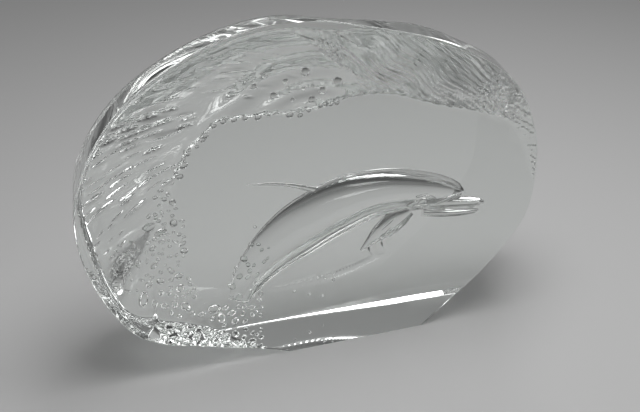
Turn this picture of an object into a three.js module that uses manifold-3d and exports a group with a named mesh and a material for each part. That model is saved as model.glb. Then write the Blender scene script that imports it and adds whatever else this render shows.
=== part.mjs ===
// Glass dolphin sculpture: one block of clear cast glass, millimetres, Z up, front towards -Y.
// The front is a flat polished face. The back is moulded: a wave sweeps up the left and curls over the top,
// foam lies at its foot, and a leaping dolphin is sunk into the thick middle. The base is ground flat.
import * as THREE from "three";
import { mergeVertices } from "three/addons/utils/BufferGeometryUtils.js";
import Module from "manifold-3d";

const wasm = await Module();
wasm.setup();

// Driving dimensions of the block
const BLOCK_WIDTH = 165; // that the face outline is a fraction of
const BLOCK_HEIGHT = 122.5; // base to the top of the wave
const BLOCK_DEPTH = 43; // front face to the flat middle of the back
const BACK_ROUND = 2; // radius of the moulded back edge
const FACE_BEVEL = 0.8; // polished bevel round the front face
const BASE_CHAMFER = 1.6; // ground edge at the back of the base

// Measures that change round the block, at every eighth of a turn from the right, by way of the top
const RIM_DEPTH = [34, 15, 24, 29, 31, 40, 41, 36]; // glass left at the rim
const FLANK_RUN = [18, 4, -7, -9, -4.5, 4, 12, 22]; // how far the flank runs out on its way to the back
const SLOPE_EASE = [1, 1, 2, 2, 1.2, 1.5, 2, 1]; // 1 slopes evenly to the rim, more keeps the fall for the rim
const EIGHTHS = RIM_DEPTH.length;
const HEART = [0.02, 0.45]; // the point, as fractions, that those turns are taken round

// Outline of the front face, as fractions of width and height, anticlockwise from the base's right corner.
// The lowest points lie under the base, which cuts them off.
const OUTLINE = [
  [0.267, 0.004], [0.427, 0.181], [0.512, 0.331], [0.527, 0.465], [0.517, 0.596], [0.455, 0.759],
  [0.315, 0.882], [0.121, 0.963], [-0.073, 1.0], [-0.268, 0.925], [-0.413, 0.778], [-0.492, 0.555],
  [-0.474, 0.343], [-0.385, 0.139], [-0.235, 0.065], [-0.085, 0.01], [0.04, -0.06], [0.158, -0.118],
];

// Edge of the flat middle of the back, in millimetres: up the left along the foam, under the wave's lip
// to the right flank, and out through the base.
const MIDDLE = [
  [-50, -14], [-52, 4], [-52, 20], [-50, 38], [-45, 54], [-39, 67], [-28, 79], [-12, 81], [8, 80.5],
  [22, 84.5], [36, 84.5], [58, 77.5], [75, 73], [87, 68], [94, 59], [99, 46], [106, 30], [114, 10], [84, -14],
];

// The wave: its lip is a step, and swells of water run round the block in a spiral up to it
const LIP_STEP = 2.2;
const LIP_WIDTH = 2.4;
const SWELL_HEIGHT = 0.6;
const SWELL_COUNT = 15; // in a full turn
const SWELL_LEAN = { left: 0.55, right: 3.0 }; // how far a swell leans off the radius
const EYE_OF_WAVE = [2, 50];

// Turns round the eye of the wave, in radians above the right, between which things fade in or out
const WAVE_STARTS = [0.25, 0.7]; // from nothing at the right to the full wave at the top
const WAVE_ENDS = [2.1, 2.6]; // below the eye, from nothing under it to the full wave at the lower left
const LIP_ENDS = [2.5, 3.1]; // from the full lip to none at the left
const LEAN_CHANGES = [0.7, 3.0]; // the swells' lean, from right to left
const SWELLS_END = [5, 35]; // across the block, from full swells to the smooth right end
const SWELLS_RISE = 0.25; // share of the way from the middle to the rim over which the swells rise
const SWELLS_AT_RIM = [1, 8]; // distance from the rim, from none to full swells
const SWELLS_TIGHTEST = 0.05; // keeps the spiral open at the eye of the wave

// The dolphin: centre x, centre z, half height and half depth of each limb along its length
const BODY = [
  [-22, 11, 4.0, 0.8], [-17, 20, 6.8, 3.2], [-8.5, 28.8, 9.6, 5.6], [4, 36.8, 11.6, 7.6],
  [19, 43.0, 11.4, 8.4], [35, 46.0, 9.6, 8.4], [49, 44.8, 8.3, 7.5], [58, 43.4, 6.9, 6.4],
  [64, 42.6, 5.0, 5.0], [67.6, 42.2, 3.0, 3.2], [69.6, 42.0, 0.8, 1.0],
];
const BEAK = [
  [54, 39.6, 3.6, 5.4], [63, 38.4, 2.9, 4.2], [71, 37.2, 2.2, 3.0], [76.4, 36.4, 1.6, 2.0],
  [78.6, 36.0, 0.7, 0.9],
];
const JAW = [
  [52, 35.8, 1.8, 3.8], [60, 34.2, 1.8, 3.0], [68, 33.2, 1.6, 2.4], [74.6, 32.8, 1.1, 1.6],
  [76.6, 33.0, 0.4, 0.6],
];
const FLIPPER = [
  [46, 38, 3.2, 7.4], [42.5, 35, 4.6, 6.4], [39, 32.3, 4.6, 5.2], [34.5, 29.4, 3.5, 3.8], [30.5, 26, 1.9, 2.2],
  [27, 23, 0.5, 0.7],
];
const DORSAL_FIN = [[9, 50.5, 1.3, 1.4], [0, 53.6, 0.8, 0.9], [-8, 55.4, 0.5, 0.6], [-17, 56.3, 0.25, 0.3]];
const LIMB_SOFTNESS = 1.5; // 1 is a round cut with upright sides, more eases it into the flat
const EYE = [50.5, 42];
const EYE_RADIUS = 1.5;
const EYE_SUNK = 6.8; // from the flat back to the middle of the eye

// Foam: bumps along the foot of the wave, and drops thrown off its lip
const FOAM_PATH = [[-46, 52], [-47, 36], [-49, 18], [-42, 7], [-30, 5], [-21, 7], [-18, 18], [-14, 30]];
const FOAM_SPREAD = 4.5;
const FOAM_BUMPS = 46;
const FOAM_RADIUS = [1.2, 2.0];
const FOAM_SUNK = 0.45; // share of a bump's radius by which its middle lies below the surface
const DROP_RAISED = 0.35; // share of a drop's radius by which its middle stands off the surface
const LOWEST_FOAM = 4;
const FOAM_CLEARANCE = 1; // from a bump to the outline of the face
const FOAM_SEED = 11;
const DROPS = [[16, 92, 2.2], [4, 97, 1.9], [11, 89, 1.6], [-7, 89, 1.6], [7, 86, 1.5], [-14, 93, 1.3]];

// Steps of the faceted form
const GRID_STEP = 2.9;
const OUTLINE_SIDES = 88;
const BODY_SIDES = 16;
const BODY_RINGS = 24;
const LIMB_RINGS = 7;
const BALL_DETAIL = 1;
const OVERSHOOT = 4; // that the flank runs past the back before it is trimmed
const TINY = 1e-6;

// Flat closed curve through a few points
function closedCurve(points, count) {
  const curve = new THREE.CatmullRomCurve3(points.map(([x, z]) => new THREE.Vector3(x, 0, z)), true);
  return curve.getSpacedPoints(count).slice(0, count).map((p) => [p.x, p.z]);
}

const faceOutline = closedCurve(OUTLINE.map(([u, v]) => [u * BLOCK_WIDTH, v * BLOCK_HEIGHT]), OUTLINE_SIDES);
const middleOutline = closedCurve(MIDDLE, OUTLINE_SIDES);
const heart = [HEART[0] * BLOCK_WIDTH, HEART[1] * BLOCK_HEIGHT];
const { lerp, smoothstep, clamp } = THREE.MathUtils;

// A measure given at every eighth of a turn, eased between them for the direction of a point from the heart
function around(measures, x, z) {
  const turns = Math.atan2(z - heart[1], x - heart[0]) / (2 * Math.PI) + 1;
  const first = Math.floor(EIGHTHS * turns);
  const share = 0.5 - 0.5 * Math.cos(Math.PI * (EIGHTHS * turns - first));
  return lerp(measures[first % EIGHTHS], measures[(first + 1) % EIGHTHS], share);
}

const backOutline = faceOutline.map(([x, z]) => {
  const scale = 1 + around(FLANK_RUN, x, z) / Math.hypot(x - heart[0], z - heart[1]);
  return [heart[0] + (x - heart[0]) * scale, heart[1] + (z - heart[1]) * scale];
});

// Distance from a point to a closed outline, negative outside it
function depthInside(outline, x, z) {
  let nearest = Infinity;
  let inside = false;
  outline.forEach(([ax, az], i) => {
    const [bx, bz] = outline[(i + 1) % outline.length];
    const dx = bx - ax;
    const dz = bz - az;
    const t = clamp(((x - ax) * dx + (z - az) * dz) / (dx * dx + dz * dz), 0, 1);
    nearest = Math.min(nearest, Math.hypot(x - ax - t * dx, z - az - t * dz));
    if (az > z !== bz > z && x < ax + ((z - az) / dz) * dx) inside = !inside;
  });
  return inside ? nearest : -nearest;
}

// Turn of a point round the eye of the wave, from level at the right
function turnRoundEye(x, z) {
  return Math.atan2(z - EYE_OF_WAVE[1], x - EYE_OF_WAVE[0]);
}

// Swells of the wave: a phase that turns round the eye of the wave and leans with distance from it
function swell(x, z) {
  const turn = turnRoundEye(x, z);
  const full = turn < -0.5 * Math.PI ? turn + 2 * Math.PI : turn;
  const lean = lerp(SWELL_LEAN.right, SWELL_LEAN.left, smoothstep(full, ...LEAN_CHANGES));
  const reach = Math.log(Math.hypot(x - EYE_OF_WAVE[0], z - EYE_OF_WAVE[1]) / BLOCK_HEIGHT + SWELLS_TIGHTEST);
  return Math.cos(SWELL_COUNT * (full - lean * reach));
}

// How much of the wave shows in a direction round the block: all of it on the left and top, none at the right
function waveShare(x, z) {
  const turn = turnRoundEye(x, z);
  return turn > 0 ? smoothstep(turn, ...WAVE_STARTS) : smoothstep(-turn, ...WAVE_ENDS);
}

// How much of the curling lip shows: all of it over the top, none by the foam and at the right
function lipShare(x, z) {
  const turn = turnRoundEye(x, z);
  return turn > 0 ? smoothstep(turn, ...WAVE_STARTS) * (1 - smoothstep(turn, ...LIP_ENDS)) : 0;
}

// Depth of glass behind the front face at a point
function glassDepth(x, z) {
  const toRim = Math.max(depthInside(backOutline, x, z), 0);
  const beyondMiddle = Math.max(-depthInside(middleOutline, x, z), 0);
  const share = beyondMiddle / (beyondMiddle + toRim + TINY);
  const step = LIP_STEP * lipShare(x, z) * smoothstep(beyondMiddle, 0, LIP_WIDTH);
  const slope = (BLOCK_DEPTH - step - around(RIM_DEPTH, x, z)) * share ** around(SLOPE_EASE, x, z);
  const edge = Math.max(BACK_ROUND - toRim, 0);
  const rounding = BACK_ROUND - Math.sqrt(BACK_ROUND ** 2 - edge ** 2);
  const ground = BASE_CHAMFER * (1 - clamp(z / GRID_STEP, 0, 1));
  const ease = smoothstep(share, 0, SWELLS_RISE) * smoothstep(toRim, ...SWELLS_AT_RIM);
  const swells = SWELL_HEIGHT * waveShare(x, z) * ease * (1 - smoothstep(x, ...SWELLS_END)) * swell(x, z);
  return BLOCK_DEPTH - step - slope - rounding - ground + swells;
}

// Turns three.js geometry into a solid, and back
function toSolid(geometry) {
  const bare = geometry.clone();
  bare.deleteAttribute("normal");
  bare.deleteAttribute("uv");
  const merged = mergeVertices(bare, 1e-4);
  return new wasm.Manifold(new wasm.Mesh({
    numProp: 3,
    vertProperties: new Float32Array(merged.attributes.position.array),
    triVerts: new Uint32Array(merged.index.array),
  }));
}

function toGeometry(solid) {
  const mesh = solid.getMesh();
  const geometry = new THREE.BufferGeometry();
  geometry.setAttribute("position", new THREE.BufferAttribute(mesh.vertProperties, 3));
  geometry.setIndex(new THREE.BufferAttribute(mesh.triVerts, 1));
  geometry.computeVertexNormals();
  return geometry;
}

function indexedGeometry(vertices, faces) {
  const geometry = new THREE.BufferGeometry();
  geometry.setAttribute("position", new THREE.Float32BufferAttribute(vertices.flat(), 3));
  geometry.setIndex(faces.flat());
  return geometry;
}

// Closed skin over a stack of rings, all with the same number of points, in order along the stack
function ringedSolid(rings) {
  const sides = rings[0].length;
  const vertices = rings.flat();
  const faces = [];
  const last = (rings.length - 1) * sides;
  for (let r = 0; r + 1 < rings.length; r++) {
    for (let i = 0; i < sides; i++) {
      const a = r * sides + i;
      const b = r * sides + ((i + 1) % sides);
      faces.push([a, b, b + sides], [a, b + sides, a + sides]);
    }
  }
  const middleOf = (ring) => [0, 1, 2].map((k) => ring.reduce((sum, p) => sum + p[k], 0) / sides);
  const start = vertices.push(middleOf(rings[0])) - 1;
  const end = vertices.push(middleOf(rings[rings.length - 1])) - 1;
  for (let i = 0; i < sides; i++) {
    const next = (i + 1) % sides;
    faces.push([start, next, i], [end, last + i, last + next]);
  }
  const solid = toSolid(indexedGeometry(vertices, faces));
  return solid.volume() < 0 ? toSolid(indexedGeometry(vertices, faces.map(([a, b, c]) => [a, c, b]))) : solid;
}

// The block's flank: the outline drawn back from the front face, bevelled at the face, to the back outline
function makeFlank() {
  const ringAt = (y, inset) => faceOutline.map(([x, z], i) => {
    const share = y / BLOCK_DEPTH;
    const scale = 1 - inset / Math.hypot(x - heart[0], z - heart[1]);
    const across = lerp(x, backOutline[i][0], share);
    const up = lerp(z, backOutline[i][1], share);
    return [heart[0] + (across - heart[0]) * scale, y, heart[1] + (up - heart[1]) * scale];
  });
  return ringedSolid([ringAt(0, FACE_BEVEL), ringAt(FACE_BEVEL, 0), ringAt(BLOCK_DEPTH + OVERSHOOT, 0)]);
}

// The moulded back: a slab whose rear face follows the glass depth
function makeBackSlab() {
  const across = [...faceOutline, ...backOutline].map((p) => p[0]);
  const left = Math.min(...across) - GRID_STEP;
  const bottom = -GRID_STEP;
  const columns = Math.ceil((Math.max(...across) - left) / GRID_STEP) + 1;
  const rows = Math.ceil(BLOCK_HEIGHT / GRID_STEP) + 2;
  const vertices = [];
  const faces = [];
  const index = (c, r, back) => 2 * (r * (columns + 1) + c) + back;
  for (let r = 0; r <= rows; r++) {
    for (let c = 0; c <= columns; c++) {
      const x = left + c * GRID_STEP;
      const z = bottom + r * GRID_STEP;
      vertices.push([x, -1, z], [x, glassDepth(x, z), z]);
    }
  }
  for (let r = 0; r < rows; r++) {
    for (let c = 0; c < columns; c++) {
      const [a, b, d, e] = [index(c, r, 0), index(c + 1, r, 0), index(c + 1, r + 1, 0), index(c, r + 1, 0)];
      faces.push([a, b, d], [a, d, e], [a + 1, d + 1, b + 1], [a + 1, e + 1, d + 1]);
    }
  }
  const wall = (a, b) => faces.push([a, a + 1, b + 1], [a, b + 1, b]);
  for (let c = 0; c < columns; c++) {
    wall(index(c, 0, 0), index(c + 1, 0, 0));
    wall(index(c + 1, rows, 0), index(c, rows, 0));
  }
  for (let r = 0; r < rows; r++) {
    wall(index(0, r + 1, 0), index(0, r, 0));
    wall(index(columns, r, 0), index(columns, r + 1, 0));
  }
  return toSolid(indexedGeometry(vertices, faces));
}

// Smooth curve through pairs of numbers, held in its x and z
function curveThrough(pairs) {
  return new THREE.CatmullRomCurve3(pairs.map(([u, v]) => new THREE.Vector3(u, 0, v)));
}

// A smooth limb through stations of centre, half height and half depth, lying in the flat of the back
function makeLimb(stations, rings) {
  const curve = curveThrough(stations);
  const measure = curveThrough(stations.map((s) => s.slice(2)));
  const list = [];
  for (let r = 0; r <= rings; r++) {
    const t = r / rings;
    const centre = curve.getPoint(t);
    const along = curve.getTangent(t);
    const size = measure.getPoint(t);
    list.push(Array.from({ length: BODY_SIDES }, (_, i) => {
      const turn = (2 * Math.PI * i) / BODY_SIDES;
      const high = size.x * Math.cos(turn);
      const sink = size.z * Math.sign(Math.sin(turn)) * Math.abs(Math.sin(turn)) ** LIMB_SOFTNESS;
      return [centre.x - along.z * high, BLOCK_DEPTH + sink, centre.z + along.x * high];
    }));
  }
  return ringedSolid(list);
}

function makeBall(x, y, z, radius) {
  return toSolid(new THREE.IcosahedronGeometry(radius, BALL_DETAIL).translate(x, y, z));
}

// Numbers between 0 and 1 that are the same on every run
function repeatable(seed) {
  let state = seed;
  return () => {
    state = (state * 16807) % 2147483647;
    return state / 2147483647;
  };
}

// Foam: round bumps standing off the moulded back along the foot of the wave
function makeFoam() {
  const random = repeatable(FOAM_SEED);
  const path = curveThrough(FOAM_PATH);
  return Array.from({ length: FOAM_BUMPS }, (_, i) => {
    const centre = path.getPoint((i + 0.5) / FOAM_BUMPS);
    const x = centre.x + FOAM_SPREAD * (2 * random() - 1);
    const z = Math.max(centre.z + FOAM_SPREAD * (2 * random() - 1), LOWEST_FOAM);
    const radius = lerp(FOAM_RADIUS[0], FOAM_RADIUS[1], random());
    return { x, z, radius };
  }).filter(({ x, z, radius }) => depthInside(faceOutline, x, z) > radius + FOAM_CLEARANCE)
    .map(({ x, z, radius }) => makeBall(x, glassDepth(x, z) - FOAM_SUNK * radius, z, radius));
}

function makeSculpture() {
  const foam = makeFoam();
  let solid = makeFlank().intersect(makeBackSlab());
  foam.forEach((bump) => {
    solid = solid.add(bump);
  });
  solid = solid.subtract(makeLimb(BODY, BODY_RINGS));
  [BEAK, JAW, FLIPPER, DORSAL_FIN].forEach((stations) => {
    solid = solid.subtract(makeLimb(stations, LIMB_RINGS));
  });
  solid = solid.subtract(makeBall(EYE[0], BLOCK_DEPTH - EYE_SUNK, EYE[1], EYE_RADIUS));
  DROPS.forEach(([x, z, radius]) => {
    solid = solid.subtract(makeBall(x, glassDepth(x, z) + DROP_RAISED * radius, z, radius));
  });
  const below = new THREE.BoxGeometry(3 * BLOCK_WIDTH, 3 * BLOCK_DEPTH, BLOCK_HEIGHT);
  return solid.subtract(toSolid(below.translate(0, 0, -0.5 * BLOCK_HEIGHT)));
}

const geometry = toGeometry(makeSculpture());
geometry.computeBoundingBox();
const box = geometry.boundingBox;
geometry.translate(-0.5 * (box.min.x + box.max.x), -0.5 * (box.min.y + box.max.y), -box.min.z);

const clearGlass = new THREE.MeshStandardMaterial({ color: 0xdfe6e2, roughness: 0.05, metalness: 0 });
const sculpture = new THREE.Mesh(geometry, clearGlass);
sculpture.name = "dolphin_sculpture";

const group = new THREE.Group();
group.add(sculpture);

export default group;
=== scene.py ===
"""Glass dolphin sculpture: a clear cast block with a curling wave, foam and a dolphin sunk into its back."""

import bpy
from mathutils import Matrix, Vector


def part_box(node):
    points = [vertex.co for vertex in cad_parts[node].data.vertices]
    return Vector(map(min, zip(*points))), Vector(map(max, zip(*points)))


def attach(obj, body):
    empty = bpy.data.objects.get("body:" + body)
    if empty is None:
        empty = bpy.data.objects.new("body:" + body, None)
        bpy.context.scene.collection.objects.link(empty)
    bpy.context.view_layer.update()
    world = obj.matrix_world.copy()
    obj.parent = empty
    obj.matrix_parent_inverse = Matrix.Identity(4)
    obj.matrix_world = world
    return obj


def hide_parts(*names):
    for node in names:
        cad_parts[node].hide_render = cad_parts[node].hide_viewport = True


bl_info = {
    "name": "Glass Dolphin Sculpture",
    "version": (1, 0, 0),
    "blender": (4, 5, 0),
    "location": "3D View > Sidebar > Glass Dolphin",
    "description": "Builds a clear glass block with a moulded wave, foam and a sunk dolphin, and its stage",
    "category": "Add Mesh",
}

import math

import bpy
import numpy as np
from bpy.props import FloatProperty, FloatVectorProperty, PointerProperty
from mathutils import Vector

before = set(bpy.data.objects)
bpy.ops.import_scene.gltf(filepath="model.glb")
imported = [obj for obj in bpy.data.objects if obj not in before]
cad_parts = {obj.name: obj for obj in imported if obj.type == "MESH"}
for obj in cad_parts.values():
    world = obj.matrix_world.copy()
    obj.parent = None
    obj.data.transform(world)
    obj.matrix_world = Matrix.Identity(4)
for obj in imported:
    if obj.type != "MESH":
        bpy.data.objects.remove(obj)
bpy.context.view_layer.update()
NODE = "dolphin_sculpture"
CAD_LOW, CAD_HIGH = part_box(NODE)
MM = 0.001
TINY = 1e-6

# The block is worked out in millimetres in its own axes: x across the front from the middle of the design,
# y back from the polished face, z up from the base. Turns and tilts are in radians.

# Outline of the front face as fractions of its width and height. The lowest points lie under the base.
OUTLINE = [
    (0.267, 0.004), (0.427, 0.181), (0.512, 0.331), (0.527, 0.465), (0.517, 0.596), (0.455, 0.759),
    (0.315, 0.882), (0.121, 0.963), (-0.073, 1.0), (-0.268, 0.925), (-0.413, 0.778), (-0.492, 0.555),
    (-0.474, 0.343), (-0.385, 0.139), (-0.235, 0.065), (-0.085, 0.01), (0.04, -0.06), (0.158, -0.118),
]
OUTLINE_POINTS = 300
HEART = (0.02, 0.45)  # the point, in the same fractions, that the flank draws in towards

# Edge of the flat middle of the back: up the left along the foam, under the lip, out to the right flank
MIDDLE = [
    (-50, -14), (-52, 4), (-52, 20), (-50, 38), (-45, 54), (-39, 67), (-28, 79), (-12, 81), (8, 80.5),
    (22, 84.5), (36, 84.5), (58, 77.5), (75, 73), (87, 68), (94, 59), (99, 46), (106, 30), (114, 10),
    (84, -14),
]
MIDDLE_POINTS = 220

# Measures that change round the block, at every eighth of a turn from the right, by way of the top
RIM_DEPTH = (34, 15, 24, 29, 31, 40, 41, 36)  # glass left at the rim
FLANK_RUN = (18, 4, -7, -9, -4.5, 4, 12, 22)  # how far the flank runs out on its way to the back
SLOPE_EASE = (1, 1, 2, 2, 1.2, 1.5, 2, 1)  # 1 slopes evenly to the rim, more keeps the fall for the rim
EIGHTHS = len(RIM_DEPTH)

# Turns of the polished bevel round the face, in degrees
BEVEL_TURNS = (0, 22, 45, 68, 90)
OVERSHOOT = 4  # that the flank runs past the back before it is trimmed

# The ground edge at the back of the base: from narrow by the foam to wide at the right
CHAMFER_SHARES = (0.2, 1.0)
CHAMFER_WIDENS = (-20, 55)
CHAMFER_RISE = 2.9  # height at which the widest part of it ends

# The wave, by the turn round its eye above the level at the right
EYE_OF_WAVE = (2, 50)
WAVE_STARTS = (0.25, 0.7)  # from nothing at the right to the full wave at the top
WAVE_ENDS = (2.1, 2.6)  # from nothing under the eye to the full wave at the lower left
LIP_ENDS = (2.5, 3.1)  # from the full lip to none at the left
LIP_WIDTH = (0.2, 2.4)  # past the scalloped edge, from none to the full step
SCALLOPS = ((0.9, 3.1, 5), (0.5, 1.4, 6))  # depth, breadth and random seed of coarse and fine ones
SCALLOPS_START = (0, 1.5)

# Broad swells that run round the block in a spiral
SWELL_COUNT = 15  # in a full turn
SWELL_LEAN = (3.0, 0.55)  # how far a swell leans off the radius, at the right and at the left
LEAN_CHANGES = (0.7, 3.0)
SWELLS_TIGHTEST = 0.05  # keeps the spiral open at the eye
SWELLS_RISE = (0, 0.25)  # share of the way from the middle to the rim over which they rise
SWELLS_AT_RIM = (1, 8)  # distance from the rim, from none to full swells
SWELLS_END = (5, 35)  # across the block, from full swells to the smooth right end

# Which way the water runs: x, z and degrees above the level
CURRENTS = [
    (-60, 20, 48), (-64, 42, 40), (-56, 58, 33), (-67, 72, 22), (-48, 78, 12), (-55, 92, 6), (-35, 94, 2),
    (-35, 108, 4), (-18, 90, -2), (-16, 115, -6), (4, 111, -22), (0, 98, -20), (16, 104, -42), (26, 94, -50),
    (44, 96, -40), (60, 88, -42), (78, 78, -50), (88, 66, -62),
]
CURRENT_BLEND = 30  # added to a squared distance, so that the next currents count too
CURRENT_FALL = 1.5  # how steeply a share falls with that distance

# A streak's shape, as shares of its thickness: its reach, and its steep and its easy side
STREAK_REACH = 3.2
STREAK_SIDES = (0.8, 1.7)
STREAK_TIP = 0.35  # share of the width that is left at its ends
STREAK_TAPER = 0.6  # less makes blunter ends

# Beds of streaks in the wave: centre x, z, half width and half height of the bed, gap between streaks, and
# their length, half thickness and height
STREAK_BEDS = [
    (-44, 98, 25, 7, 2.6, 15, 0.36, 0.42),
    (-22, 106, 18, 5, 4.5, 12, 0.36, 0.32),
    (-54, 84, 18, 5.5, 1.7, 11, 0.5, 0.95),
    (-61, 66, 19, 13, 2.3, 11, 0.36, 0.6),
    (-68, 44, 6, 7, 3.6, 5, 0.36, 0.4),
    (-4, 95, 22, 8, 5.0, 7, 0.36, 0.35),
]
STREAK_SEED = 4
STREAK_TRIES = 900
STREAK_SPACING = 0.75  # gap along the water, as a share of the length
STREAK_SIZES = (0.6, 1.3)
STREAK_LENGTHS = (0.55, 1.25)
STREAK_WAYS = (1, 1, -0.8)  # two ridges to each groove
STREAKS_AT_RIM = (0.4, 3)  # distance from the rim, from none to full streaks

# The crest: a band of long fine streaks that turns over at the top: centre x, z and half width
CREST = [
    (-23, 117, 1.0), (-12, 117, 2.0), (0, 114.5, 3.2), (9, 110.5, 4.0), (17, 105, 4.6), (25, 98, 4.6),
    (33, 90, 4.2),
]
CREST_POINTS = 120
CREST_LANES = 7
CREST_STREAKS = 2  # in each lane
CREST_STARTS = (0, 60)  # the first point of a streak
CREST_LENGTHS = (45, 75)  # in points
CREST_WANDER = 0.05  # share of the half width
CREST_THICKNESS = 0.36
CREST_HEIGHTS = (0.7, 1.2)

# Combed water at the right of the lip: its slant, from line to line, and half height
COMB_TURN = 0.68
COMB_GAP = 1.9
COMB_HEIGHT = 0.85
COMB_STARTS = (-0.5, 1.5)  # past the lip, from none to the full comb
COMB_THINS = (9, 17)  # past the lip, from the full comb to the thin one
COMB_THINNED = 0.75  # share of the height that goes
COMB_LEFT_END = (20, 34)
COMB_RIGHT_END = (70, 84)
COMB_RIGHT_LOSS = 0.5
COMB_WANDER = (1.3, 11, 12)  # how far a line wanders, over what length, and random seed
COMB_BREAKS = (0.45, 7, 1.3, 13)  # share of the height that comes and goes, length, breadth, random seed
SPECKLE = (0.35, 1.1, 14)  # height, size and random seed of the speckle at the tip
SPECKLE_STARTS = (62, 74)

# Beads along the edge of the lip
BEAD_SEED = 3
BEADS_ACROSS = (-42, 30)
BEADS_ABOVE = 56
BEAD_RADIUS = (0.6, 1.4)
BEAD_SPREAD = (0.5, 0.4, 0.5)  # sideways, lift, and up and down
BEAD_GAPS = (2.1, 0.8)  # in radii, and a random part
BEAD_SUNK = 0.15
BEAD_SHAPE = (1.25, 0.3)  # length over thickness, and tilt

# Drops thrown off the lip: x, z and radius
DROPS = [
    (16, 92, 2.2), (4, 97, 1.9), (11, 89, 1.6), (-7, 89, 1.6), (7, 86, 1.5), (-14, 93, 1.3), (-3, 94, 1.1),
    (4, 90.5, 1.0), (-11, 97, 1.2), (0, 86.5, 0.8),
]
DROP_RAISED = 0.35  # share of a drop's radius that its middle stands off the back

# Beds of foam: centre x, z, half width, half height, bubbles, smallest and largest radius, stretch along x
FOAM_BEDS = [
    (-36, 5, 24, 5, 120, 0.8, 2.0, 1.9),
    (-48, 17, 10, 11, 50, 0.7, 1.8, 1.9),
    (-47, 42, 7, 17, 44, 0.5, 1.5, 2.4),
    (-61, 33, 7, 11, 26, 0.4, 1.1, 2.6),
    (-19, 15, 6, 13, 50, 0.7, 1.6, 1.6),
    (-13, 31, 4, 10, 16, 0.4, 1.0, 1.4),
    (8, 12, 11, 6, 7, 0.4, 0.7, 1.2),
]
FOAM_SEED = 7
FOAM_TRIES = 12
FOAM_GAP = 0.08
FOAM_TILT = 0.7
FOAM_FROM_BASE = 0.4
FOAM_FROM_RIM = 2.6
SUNK_FOAM_SHARE = 0.55  # the rest stands off the back
SUNK_FOAM_DEPTH = 0.1  # share of a bubble's radius by which its middle lies in the glass
PROUD_FOAM_DEPTH = -0.05

# Foam sunk into the flank where it rises from the base
FLANK_FOAM = 90
FLANK_FOAM_SEED = 5
FLANK_FOAM_TRIES = 8
FLANK_FOAM_ACROSS = (-52, -12)
FLANK_FOAM_UP = (0.3, 16)
FLANK_FOAM_BACK = (3, 40)
FLANK_FOAM_RADIUS = (1.0, 2.0)
FLANK_FOAM_SPACING = 1.5
FLANK_FOAM_FROM_BASE = (1.2, 0.3)  # in radii, and added to them
FLANK_FOAM_FROM_BACK = 2
FLANK_FOAM_SHAPE = (0.8, 1.5, 0.2)  # thickness and length over the radius, and tilt

# The dolphin: centre x, centre z, half height and half depth, from the tail stock to the brow
BODY = [
    (-22, 11, 4.0, 0.8), (-17, 20, 6.8, 3.2), (-8.5, 28.8, 9.6, 5.6), (4, 36.8, 11.6, 7.6),
    (19, 43.0, 11.4, 8.4), (35, 46.0, 9.6, 8.4), (49, 44.8, 8.3, 7.5), (58, 43.4, 6.9, 6.4),
    (64, 42.6, 5.0, 5.0), (67.6, 42.2, 3.0, 3.2), (69.6, 42.0, 0.8, 1.0),
]
BEAK = [
    (54, 39.6, 3.6, 5.4), (63, 38.4, 2.9, 4.2), (71, 37.2, 2.2, 3.0), (76.4, 36.4, 1.6, 2.0),
    (78.6, 36.0, 0.7, 0.9),
]
JAW = [
    (52, 35.8, 1.8, 3.8), (60, 34.2, 1.8, 3.0), (68, 33.2, 1.6, 2.4), (74.6, 32.8, 1.1, 1.6),
    (76.6, 33.0, 0.4, 0.6),
]
FLIPPER = [
    (46, 38, 3.2, 7.4), (42.5, 35, 4.6, 6.4), (39, 32.3, 4.6, 5.2), (34.5, 29.4, 3.5, 3.8),
    (30.5, 26, 1.9, 2.2), (27, 23, 0.5, 0.7),
]
DORSAL_FIN = [(9, 50.5, 1.3, 1.4), (0, 53.6, 0.8, 0.9), (-8, 55.4, 0.5, 0.6), (-17, 56.3, 0.25, 0.3)]
LIMB_SOFTNESS = 1.5  # 1 is a round cut with upright sides, more eases it into the flat
EYE = (50.5, 42.0)
EYE_SUNK = 6.8  # from the flat back to the middle of the eye
EYE_RADIUS = 1.5
EYE_SHAPE = (1.3, 0.3)  # length over thickness, and tilt

# Carving on the dolphin, and one big star-shaped drop in the foam, sunk into the back or standing on it:
# x, z, half thickness, half length and tilt
SUNK_MARKS = [
    (-49, 43, 1.3, 2.4, 0.2), (-48.6, 43, 0.6, 3.4, -0.5), (-49.2, 42.6, 0.6, 3.2, 0.9),
    (46.4, 41.4, 1.0, 2.9, 0.35), (53.6, 43.2, 0.8, 2.6, -0.35), (61, 41.0, 0.8, 5.4, 0.26),
    (33, 38.6, 0.7, 8.0, 0.08), (37.5, 31.2, 0.5, 5.0, 0.72), (40.5, 31.8, 0.5, 4.6, 0.85),
    (58, 36.6, 0.5, 4.0, -0.1), (68, 35.3, 0.8, 7.0, -0.12),
]
PROUD_MARKS = [
    (50.4, 44.5, 0.6, 3.0, 0.1), (36, 32.8, 0.45, 4.4, 0.66), (48.5, 39.4, 0.5, 2.4, -0.2),
    (30, 37.2, 0.5, 6.0, 0.1),
]
MARKS_SEEN_FROM = 2  # depth behind the face from which a mark looks for the back

# Thin lines of wake below the dolphin
WAKE = [
    [(-11, 13), (11.5, 13.5), (25, 16), (33, 18.5), (39, 19.5)],
    [(30.5, 27), (31.2, 23), (33.5, 18.5)],
    [(36, 28), (36.6, 24), (39, 19.5)],
]
WAKE_POINTS = 40
WAKE_WIDTH = 1.2  # half width of a line of wake
WAKE_HEIGHT = 0.9

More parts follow.
